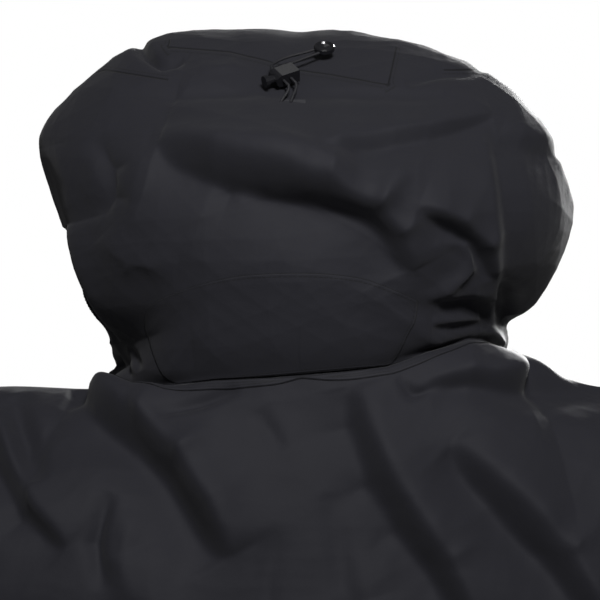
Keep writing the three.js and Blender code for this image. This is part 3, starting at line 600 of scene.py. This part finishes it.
HOOD_SEAMS = [
    # round the crown panel: its left side, its lower edge and its right side
    [(79, 212), (80.6, 193), (43, 190), (22, 185), (2, 179), (-19, 176), (-53, 170), (-58, 188), (-61, 200)]
    + [(-61, 212)],
    # on from its corners to the cheeks
    [(79, 173), (119, 179), (146, 172)],
    [(-87, 179), (-124, 179), (-146, 166)],
]
hood_panels = {  # look, range of t, range of k, columns, rows, stitched edges
    "hood_main": (shell, (0, 1), (0, CROWN_SEAM), 400, 230, "s"),
    "hood_crown": (shell, (CROWN_EDGE, 1 - CROWN_EDGE), (CROWN_SEAM, BRIM_SEAM), 200, 220, "n"),
    "hood_brim": (trim, (CROWN_EDGE, 1 - CROWN_EDGE), (BRIM_SEAM, 1), 160, 40, "wesn"),
    "hood_cheek_left": (shell, (CHIN_SHARE, CROWN_EDGE), (CROWN_SEAM, 1), 200, 200, "wn"),
    "hood_cheek_right": (shell, (1 - CROWN_EDGE, 1 - CHIN_SHARE), (CROWN_SEAM, 1), 200, 200, "en"),
    "collar_left": (shell, (0, CHIN_SHARE), (CROWN_SEAM, 1), 60, 130, "en"),
    "collar_right": (shell, (1 - CHIN_SHARE, 1), (CROWN_SEAM, 1), 60, 130, "wn"),
}
for name, (look, t, k, columns, rows, seams) in hood_panels.items():
    u, v = np.linspace(*t, columns), np.linspace(*k, rows)
    sew(name, "gathered", hood, u, v, HOOD_CORE, look, seams=seams, lines=HOOD_SEAMS)

# The patch's two side edges on the back view, neck seam to corner
PATCH_LEFT = [(72, -6), (82, 8), (90, 24), (91, 36), (84, 43)]
PATCH_RIGHT = [(-53, 5), (-57, 13), (-62, 24), (-68, 35), (-69, 44)]
PATCH_RISE = 17  # of its top edge's middle over its corners
PATCH_PROUD = 0.3


def patch_surface(u, v):
    """The half-moon reinforcement over the back of the neck: x, z between its two sides, raised by an arc,
    laid on the hood PATCH_PROUD mm proud of it."""
    (ax, az), (bx, bz) = through(PATCH_LEFT, v), through(PATCH_RIGHT, v)
    x = mix(ax, bx, u)
    rise = PATCH_RISE * np.clip(v, 0, 1) ** 1.5 * (1 - np.abs(2 * u - 1) ** 2.4)
    z = mix(mix(az, bz, u), seam_tilt(x) + 1.2, (1 - v) ** 2) + rise
    t, k = on_back(resting_hood, x, z, 0.5 - x / 400, 0.02 + z / 350)
    return hood(t, k) + PATCH_PROUD * normals(resting_hood, t, k, HOOD_CORE)


u, v = np.linspace(0, 1, 220), np.linspace(0, 1, 100)
sew("hood_neck_patch", "gathered", patch_surface, u, v, HOOD_CORE, shell, turn=PATCH_PROUD, groove=0)

# ------------------------------------------------------------------ body
# Back and two fronts of the same laminate, sewn to the hood at the neck and to the sleeves at the
# armholes. The yoke hangs from the neck in long rays.
BACK_LENGTH = 740
HEM_DEPTH = 34
HEM_TOP_Z = HEM_DEPTH - BACK_LENGTH
WAIST_Z = -470
SHOULDER = np.array([228, 0, -18])
ARMHOLE_HALF_HEIGHT = 118
ARMPIT_X = 240
ARMPIT_Z = SHOULDER[2] - 2 * ARMHOLE_HALF_HEIGHT
SIDE_SHARE = 2 / 3
HEM_HALF_WIDTH, HEM_BACK_Y = 262, 116
WAIST_HALF_WIDTH, WAIST_BACK_Y = 238, 102
ARMPIT_BACK_Y = 122
BULGE = 2.5
BODY_CORE = np.array([0, 0, -300])


def armhole(turn):
    """The armhole, turn degrees from the shoulder tip over the back to the armpit."""
    a = np.radians(turn)
    inset = 14 * np.abs(np.sin(a)) ** 1.5
    x = mix(SHOULDER[0], ARMPIT_X, (1 - np.cos(a)) / 2) - inset
    return join(x, 76 * np.sin(a), SHOULDER[2] - ARMHOLE_HALF_HEIGHT * (1 - np.cos(a)))


def section(u, centre, edge, rise):
    """From the centre line to the side along a quarter of a superellipse of power BULGE."""
    a = np.clip(u, 0, 1) * np.pi / 2
    across, out = np.sin(a) ** (2 / BULGE), np.abs(np.cos(a)) ** (2 / BULGE)
    return join(
        mix(centre[..., 0], edge[..., 0], across),
        mix(edge[..., 1], centre[..., 1], out),
        mix(centre[..., 2], edge[..., 2], np.clip(u, 0, 1) ** rise),
    )


def level_section(u, z, side):
    """The section at height z: half width and depth run smoothly through the hem, waist and armpit."""
    hem_size, waist_size = (HEM_HALF_WIDTH, HEM_BACK_Y), (WAIST_HALF_WIDTH, WAIST_BACK_Y)
    between = [mix(a, b, 0.6) for a, b in zip(hem_size, waist_size)]
    keys = [hem_size, between, waist_size, (ARMPIT_X, ARMPIT_BACK_Y)]
    low = (z + BACK_LENGTH) / (WAIST_Z + BACK_LENGTH) * 2
    high = 2 + (z - WAIST_Z) / (ARMPIT_Z - WAIST_Z)
    half_width, back_y = through(keys, np.where(z < WAIST_Z, low, high) / 3)
    centre = join(0, back_y, z) if side > 0 else join(ZIP_REVEAL, FRONT_Y + 0 * z, z)
    return section(u, centre, join(half_width, 0, z), 1)


def body_half(u, v, side):
    """Half a body panel: u from the centre line to the side, v from the hem seam to neck and shoulder. Above
    the armpit, sections from the centre to the armhole are eased on to the neck and shoulder seam."""
    low = level_section(u, mix(HEM_TOP_Z, ARMPIT_Z, v / SIDE_SHARE), side)
    up = np.clip((v - SIDE_SHARE) / (1 - SIDE_SHARE), 0, 1)
    turn = 0 if side > 0 else 180
    neck = neck_seam(np.full(np.shape(up), float(turn)))
    back_y = through([(ARMPIT_BACK_Y,), (124,), (112,), (NECK_BACK_Y,)], up)[0]
    centre = join(neck[..., 0], back_y if side > 0 else FRONT_Y, mix(ARMPIT_Z, neck[..., 2], up))
    edge = armhole(180 * (1 - up)) * np.array([1, side, 1])
    p = section(u, centre, edge, 2)
    over = np.clip((u - 0.5) / 0.5, 0, 1)
    top_neck = neck_seam(mix(turn, 90, np.clip(u / 0.5, 0, 1)))
    shoulder = mix(neck_seam(np.full(np.shape(over), 90.0)), SHOULDER, over[..., None])
    top = np.where((u < 0.5)[..., None], top_neck, shoulder)
    high = mix(p, top, (np.clip((up - 0.4) / 0.6, 0, 1) ** 2.2)[..., None])
    return np.where((v <= SIDE_SHARE)[..., None], low, high)


BACK_SLOPES = [  # height, half width and reach, and a line with its high side on the left
    # left wedge
    (19, 10, 26, [(43, -104), (60, -74), (76, -50), (98, -31), (138, -9)]),
    # right ray
    (14, 9, 28, [(-103, -150), (-81, -108), (-62, -83), (-46, -58), (-34, -27), (-30, -6)]),
    # shoulder ray
    (14, 8, 26, [(-176, -145), (-152, -105), (-133, -86), (-108, -61), (-88, -40)]),
    # under the right shoulder
    (9, 4.5, 16, [(-196, -13), (-140, -7), (-102, -2), (-76, -5)]),
    # left arm ridge
    (9, 6, 20, [(136, -99), (160, -78), (176, -52), (188, -28)]),
]
BACK_FOLDS = [  # height, width on the left and on the right, and a line
    # left arm hollow
    (-9, 8, 8, [(174, -18), (163, -43), (156, -66)]),
    # arm creases
    (-6, 6, 5, [(112, -66), (119, -95), (114, -122)]),
    (3, 8, 8, [(98, -76), (104, -104), (100, -132)]),
    # seam crease
    (-4, 3, 4, [(84, -26), (64, -19), (36, -9)]),
    # small rays
    (-2.5, 5, 5, [(26, -20), (10, -43)]),
    (-3.5, 8, 8, [(-17, -66), (-24, -105), (-29, -145)]),
    (-3, 7, 7, [(14, -88), (19, -115), (20, -142)]),
    # crescent at the neck
    (-5, 3, 3, [(-61, -4), (-66, -11), (-76, -8)]),
    # lower drapes
    (6, 16, 18, [(93, -98), (81, -137), (77, -177)]),
    (5, 18, 16, [(-42, -127), (-54, -177)]),
]


def tilted(p):
    """p with the neck seam's tilt, fading down the yoke and towards the shoulders."""
    near = np.exp(-((np.minimum(p[..., 2], 0) / 45) ** 2))
    near = near * (1 - smooth((np.abs(p[..., 0]) - NECK_HALF_WIDTH) / 70))
    return p + join(0, 0, seam_tilt(p[..., 0]) * near)


def resting_back(u, v):
    """The plain back panel: the half panel and its mirror image, u from wearer's right to left."""
    s = 2 * u - 1
    sign = np.where(s < 0, -1, 1)
    return tilted(body_half(np.abs(s), v, 1) * join(sign, 1, 1))


def back(u, v):
    """The back panel with its rays and crumpling, calm at its seams."""
    p = resting_back(u, v)
    n = normals(resting_back, u, v, BODY_CORE)
    x, z = p[..., 0], p[..., 2]
    height = folds(BACK_FOLDS, x, z) + scarps(BACK_SLOPES, x, z)
    height = height + 4.2 * crumple(p, 66, 11) + 1.0 * crumple(p, 24, 12)
    calm = smooth((1 - v) / 0.02) * smooth(np.minimum(u, 1 - u) / 0.02) * smooth(v / 0.02)
    return p + n * (height * calm)[..., None]


def front(hand):
    """A front panel, hand 1 on the wearer's left and -1 on the right: the half panel plus fine crumpling,
    calm at its seams and at the zip."""
    def resting(u, v):
        return tilted(body_half(u, v, -1) * np.array([hand, 1, 1]))

    def surface(u, v):
        p = resting(u, v)
        n = normals(resting, u, v, BODY_CORE)
        calm = smooth((1 - v) / 0.02) * smooth((u - 0.02) / 0.25)
        calm = calm * smooth((1 - u) / 0.03) * smooth(v / 0.02)
        height = -1.5 + 2.6 * crumple(p, 64, 21 + hand) + 0.8 * crumple(p, 22, 31 + hand)
        return p + n * (height * calm)[..., None]

    return surface


v = np.concatenate([np.linspace(0, 0.74, 130, endpoint=False), np.linspace(0.74, 1, 150)])
sew("back_panel", "hung", back, np.linspace(0, 1, 300), v, BODY_CORE, shell)
u, v = np.linspace(0, 1, 130), np.linspace(0, 1, 230)
for side, hand in (("left", 1), ("right", -1)):
    sew(f"front_panel_{side}", "hung", front(hand), u, v, BODY_CORE, shell)


HEM_RIPPLE = 0.25


def hem(u, v):
    """The hem: the body's own section, hem edge to hem seam, with a small ripple by a sine of x."""
    s = 4 * u - 2
    z = mix(-BACK_LENGTH, HEM_TOP_Z, v)
    back_half = level_section(np.clip(np.abs(s), 0, 1), z, 1)
    front_half = level_section(np.clip(2 - np.abs(s), 0, 1), z, -1)
    p = np.where((np.abs(s) <= 1)[..., None], back_half, front_half)
    ripple = HEM_RIPPLE * np.sin(p[..., 0] / 9) * smooth(np.abs(u - 0.5) / 0.1)
    return p * join(np.where(s < 0, -1, 1), 1, 1) + join(0, ripple * np.sign(p[..., 1]), 0)


hem_core = np.array([0, 0, HEM_DEPTH / 2 - BACK_LENGTH])
sew("hem_band", "hung", hem, np.linspace(0, 1, 500), np.linspace(0, 1, 24), hem_core, trim, turn=2.2)

# ------------------------------------------------------------------ sleeves and cuffs
# Set-in sleeves of the same laminate that hang straight, with soft rings at the elbow and above the cuff.
# Each ends in a plain cuff with a hook-and-loop tab, sewn down at one end and free to peel at the other.
SLEEVE_RINGS = [  # centre x and z, half height, half depth, degrees turned
    (234, -136, 118, 76, 0),
    (294, -172, 92, 80, 28),
    (324, -262, 78, 76, 66),
    (336, -380, 66, 68, 84),
    (338, -500, 58, 60, 88),
    (336, -600, 51, 53, 90),
    (334, -664, 45, 47, 90),
]
CUFF_X, CUFF_TOP_Z, CUFF_HIGH, CUFF_DEEP, _ = SLEEVE_RINGS[-1]
CUFF_DEPTH = 46
ELBOW_Z = -430
STACK_Z = -640  # where the sleeve's length bunches above the cuff
TAB_LIFT = 1.9


def resting_sleeve(u, v):
    """The left sleeve before its creases: ellipses through SLEEVE_RINGS, eased on to the armhole at the
    top."""
    turn = np.mod(u * 360, 360)
    x, z, high, deep, tilt = through(SLEEVE_RINGS, v)
    a, t = np.radians(turn), np.radians(tilt)
    out = high * np.cos(a)
    p = join(x + out * np.sin(t), deep * np.sin(a), z + out * np.cos(t))
    ring = armhole(np.minimum(turn, 360 - turn)) * join(1, np.where(turn > 180, -1, 1), 1)
    return mix(ring, p, smooth(np.maximum(v, 0) / 0.16)[..., None])


def sleeve(hand):
    """A sleeve, hand 1 on the wearer's left and -1 on the right: the resting sleeve plus crumpling, deepest
    at the elbow and above the cuff, calm at its two seams."""
    flip = np.array([hand, 1, 1])

    def core(u, v):
        x, z, *_ = through(SLEEVE_RINGS, v)
        return join(x, 0, z)

    def surface(u, v):
        p = resting_sleeve(u, v)
        step = 0.003
        low, high = np.clip(v - step, 0, 1), np.clip(v + step, 0, 1)
        round_it = resting_sleeve(u + step, v) - resting_sleeve(u - step, v)
        n = np.cross(round_it, resting_sleeve(u, high) - resting_sleeve(u, low))
        n /= np.linalg.norm(n, axis=-1, keepdims=True) + 1e-12
        n *= np.sign((n * (p - core(u, v))).sum(-1, keepdims=True))
        q = p * flip * np.array([1, 1, 1.9])
        elbow = np.exp(-(((p[..., 2] - ELBOW_Z) / 90) ** 2))
        stack = 0.8 * np.exp(-(((p[..., 2] - STACK_Z) / 40) ** 2))
        height = (2.2 + 3 * (elbow + stack)) * crumple(q, 48, 41 + hand)
        height = height + crumple(p * flip, 20, 51 + hand) - 1
        calm = smooth(v / 0.03) * smooth((1 - v) / 0.02)
        return (p + n * (height * calm)[..., None]) * flip

    return surface


def cuff(hand, lift=0.0):
    """The cuff: an ellipse lift mm proud, narrowed by a straight taper to its lower edge."""
    def surface(u, v):
        a = u * 2 * np.pi
        taper = 1 - 0.03 * v
        return join(
            hand * (CUFF_X + (CUFF_HIGH * taper + lift) * np.cos(a)),
            (CUFF_DEEP * taper + lift) * np.sin(a),
            CUFF_TOP_Z - CUFF_DEPTH * v,
        )

    return surface


round_seam = np.linspace(0, 1, 150, endpoint=False)
for side, hand in (("left", 1), ("right", -1)):
    core = np.array([hand * 310, 0, -400])
    down = np.linspace(0, 1, 260)
    sew(f"sleeve_{side}", "hung", sleeve(hand), round_seam, down, core, shell, seams="sn", closed=True)
    core = np.array([hand * CUFF_X, 0, CUFF_TOP_Z - CUFF_DEPTH / 2])
    down = np.linspace(0, 1, 30)
    sew(f"cuff_band_{side}", "hung", cuff(hand), round_seam, down, core, trim, seams="sn", closed=True)
    tab = cuff(hand, TAB_LIFT)

    def tab_surface(u, v):
        """The tab: 60 to 170 degrees round the cuff, over the middle three fifths of its depth."""
        return tab(mix(60, 170, u) / 360, mix(0.2, 0.8, v))

    u, v = np.linspace(0, 1, 60), np.linspace(0, 1, 20)
    sew(f"cuff_tab_{side}", "laid", tab_surface, u, v, core, trim, ride=f"cuff_tab_{side}", turn=0.9)


# ------------------------------------------------------------------ neck facing
# A narrow band of the same laminate as the hem, laid on the yoke just under the neck seam and stitched down
# along its edges.
FACING_ENDS = (0.742, 0.258)  # u on the back panel
FACING_PROUD = 0.6


def facing_surface(u, v):
    """The facing band, laid on the yoke from 1 to 7 mm under the neck seam: the depth is reached by scaling
    the distance from the seam six times."""
    a, depth, b = mix(*FACING_ENDS, u), mix(7, 1, v), 0.99 + 0 * u
    seam = resting_back(a, 1 + 0 * a)
    for _ in range(6):
        b = 1 - (1 - b) * depth / np.linalg.norm(resting_back(a, b) - seam, axis=-1)
    return back(a, b) + FACING_PROUD * normals(resting_back, a, b, BODY_CORE)


u, v = np.linspace(0, 1, 160), np.linspace(0, 1, 12)
sew("neck_facing", "laid", facing_surface, u, v, BODY_CORE, trim, turn=0.5, groove=0.1)

# ------------------------------------------------------------------ hard parts
# Moulded acetal sliders, pulls, cord lock and cord end, left as they come from the mould: the lock and the
# cord end glossy black, the zip parts satin. With them are the small soft trims and the coated zip tapes.
def moulded(name, base, roughness):
    """Moulded acetal: an even colour with a very fine mould grain."""
    made, tree, shader = material(name)
    place = add_node(tree, "ShaderNodeTexCoord").outputs["Object"]
    grain = add_node(tree, "ShaderNodeTexNoise", Vector=place, Scale=1500.0, Detail=3.0).outputs["Fac"]
    bump = add_node(tree, "ShaderNodeBump", Strength=0.12, Distance=0.0001, Height=grain)
    tree.links.new(bump.outputs[0], shader.inputs["Normal"])
    shader.inputs["Base Color"].default_value = colour(base)
    shader.inputs["Roughness"].default_value = roughness
    return made


gloss = moulded("acetal_gloss_mould", "#19191c", 0.2)
satin = moulded("acetal_satin_mould", "#1a1a1d", 0.42)


def woven(name, base, spacing, roughness):
    """A narrow woven or brushed fabric: ribs spacing mm apart crossed by fine picks, with fuzz in between."""
    multiply = {"operation": "MULTIPLY"}
    add = {"operation": "MULTIPLY_ADD"}
    made, tree, shader = material(name)
    place = add_node(tree, "ShaderNodeTexCoord").outputs["Object"]
    rate = 2 * math.pi / (20 * spacing * MM)
    ribs, picks = (
        add_node(
            tree, "ShaderNodeTexWave", {"bands_direction": way}, Vector=place, Scale=scale, Distortion=0.8
        ).outputs["Fac"]
        for way, scale in (("DIAGONAL", rate), ("Z", rate * 1.7))
    )
    fuzz = add_node(tree, "ShaderNodeTexNoise", Vector=place, Scale=900.0, Detail=4.0).outputs["Fac"]
    both = add_node(tree, "ShaderNodeMath", multiply, _0=ribs, _1=picks).outputs[0]
    height = add_node(tree, "ShaderNodeMath", add, _0=fuzz, _1=0.6, _2=both).outputs[0]
    bump = add_node(tree, "ShaderNodeBump", Strength=0.5, Distance=0.0003, Height=height)
    tree.links.new(bump.outputs[0], shader.inputs["Normal"])
    dark = [c * 0.75 for c in colour(base)[:3]] + [1]
    light = colour(base)
    tone = add_node(tree, "ShaderNodeMix", {"data_type": "RGBA"}, _0=fuzz, _6=dark, _7=light).outputs[2]
    tree.links.new(tone, shader.inputs["Base Color"])
    shader.inputs["Roughness"].default_value = roughness
    shader.inputs["Sheen Weight"].default_value = 0.1
    return made


webbing = woven("nylon_woven_webbing", "#1c1c20", 1.2, 0.6)
tricot = woven("brushed_tricot", "#1f1f24", 0.7, 0.85)
slit_patch = woven("bonded_nylon_patch", "#212127", 0.5, 0.7)


def coated_tape(name, base, pitch, roughness):
    """Polyurethane-coated zip tape: smooth and black, with the coil's teeth, pitch mm apart, felt through
    it."""
    made, tree, shader = material(name)
    place = add_node(tree, "ShaderNodeTexCoord").outputs["Object"]
    rate = 2 * math.pi / (20 * pitch * MM)
    coil = add_node(tree, "ShaderNodeTexWave", {"bands_direction": "Z"}, Vector=place, Scale=rate)
    bump = add_node(tree, "ShaderNodeBump", Strength=0.5, Distance=0.0004, Height=coil.outputs["Fac"])
    tree.links.new(bump.outputs[0], shader.inputs["Normal"])
    shader.inputs["Base Color"].default_value = colour(base)
    shader.inputs["Roughness"].default_value = roughness
    return made


zip_tape = coated_tape("coated_zip_tape", "#17171a", 1.5, 0.4)

SOFT_LOOKS = {
    "hanger_loop": webbing,
    "storm_flap": tricot,
    "chin_guard": tricot,
    "rear_cord_slit": slit_patch,
}
LOCK_EDGE, FINE_EDGE = 0.0013, 0.0003
for name, part in nodes.items():
    hard = name.startswith(("rear_lock", "rear_cord_end")) or name.endswith(("_slider", "_pull"))
    look = SOFT_LOOKS.get(name) or (zip_tape if "tape" in name else None)
    if hard:
        look = gloss if name.startswith("rear_") else satin
    if look:
        part.data.materials.clear()
        part.data.materials.append(look)
        bevel = part.modifiers.new("edges", "BEVEL")
        bevel.width = LOCK_EDGE if name == "rear_lock_body" else FINE_EDGE
        bevel.segments = 4
        bevel.limit_method = "ANGLE"

# ------------------------------------------------------------------ stage and light
# A pale floor 60 mm below the hem, a white room, a soft light above and behind, a fill in front, and three
# small lamps that draw the glints on the cord lock.
FLOOR_Z, FLOOR_HALF = -0.80, 4.0
floor_mesh = bpy.data.meshes.new("floor")
corners = [(x, y, FLOOR_Z) for x, y in ((-1, -1), (1, -1), (1, 1), (-1, 1))]
floor_mesh.from_pydata([(x * FLOOR_HALF, y * FLOOR_HALF, z) for x, y, z in corners], [], [(0, 1, 2, 3)])
floor = bpy.data.objects.new("floor", floor_mesh)
scene.collection.objects.link(floor)
floor_paint, _, shader = material("pale_floor_paint")
shader.inputs["Base Color"].default_value = colour("#d6d6d6")
shader.inputs["Roughness"].default_value = 0.8
# What the eye sees of the floor is lifted to pale, while the cloth gets no extra light from below
FLOOR_SEEN = 0.42
eye = add_node(floor_paint.node_tree, "ShaderNodeLightPath").outputs["Is Camera Ray"]
lift = add_node(floor_paint.node_tree, "ShaderNodeMath", {"operation": "MULTIPLY"}, _0=eye, _1=FLOOR_SEEN)
floor_paint.node_tree.links.new(lift.outputs[0], shader.inputs["Emission Strength"])
shader.inputs["Emission Color"].default_value = (1, 1, 1, 1)
floor_mesh.materials.append(floor_paint)

world = bpy.data.worlds.new("white_room")
scene.world = world
world.use_nodes = True
sky = world.node_tree.nodes["Background"]
sky.inputs["Color"].default_value = (1, 1, 1, 1)
seen = add_node(world.node_tree, "ShaderNodeLightPath").outputs["Is Camera Ray"]
ROOM_LIGHT, ROOM_SEEN = 0.06, 1.0
extra = ROOM_SEEN - ROOM_LIGHT
level = add_node(
    world.node_tree, "ShaderNodeMath", {"operation": "MULTIPLY_ADD"}, _0=seen, _1=extra, _2=ROOM_LIGHT
)
world.node_tree.links.new(level.outputs[0], sky.inputs["Strength"])


def soft_box(name, place, aim_at, size, watts, spread=100):
    """A round area lamp at place, turned to aim_at, with its light kept within spread degrees."""
    lamp = bpy.data.lights.new(name, "AREA")
    lamp.shape = "DISK"
    lamp.size = size
    lamp.energy = watts
    lamp.spread = math.radians(spread)
    made = bpy.data.objects.new(name, lamp)
    made.location = place
    made.rotation_euler = (Vector(place) - Vector(aim_at)).to_track_quat("Z", "Y").to_euler()
    scene.collection.objects.link(made)


soft_box("behind", (-0.2, 1.35, 1.08), (0, 0, 0.12), 0.45, 8.6)
soft_box("front_fill", (-0.7, -1.8, 0.35), (0, 0, -0.25), 0.8, 26)
soft_box("glint_left", (0.5, 0.9, 0.6), (0, 0.04, 0.18), 0.05, 0.2)
soft_box("glint_right", (-0.5, 0.8, 0.9), (0, 0.04, 0.18), 0.05, 0.2)
soft_box("glint_top", (0.05, -0.35, 1.1), (0, 0.03, 0.18), 0.2, 0.02)
scene.view_settings.view_transform = "Standard"
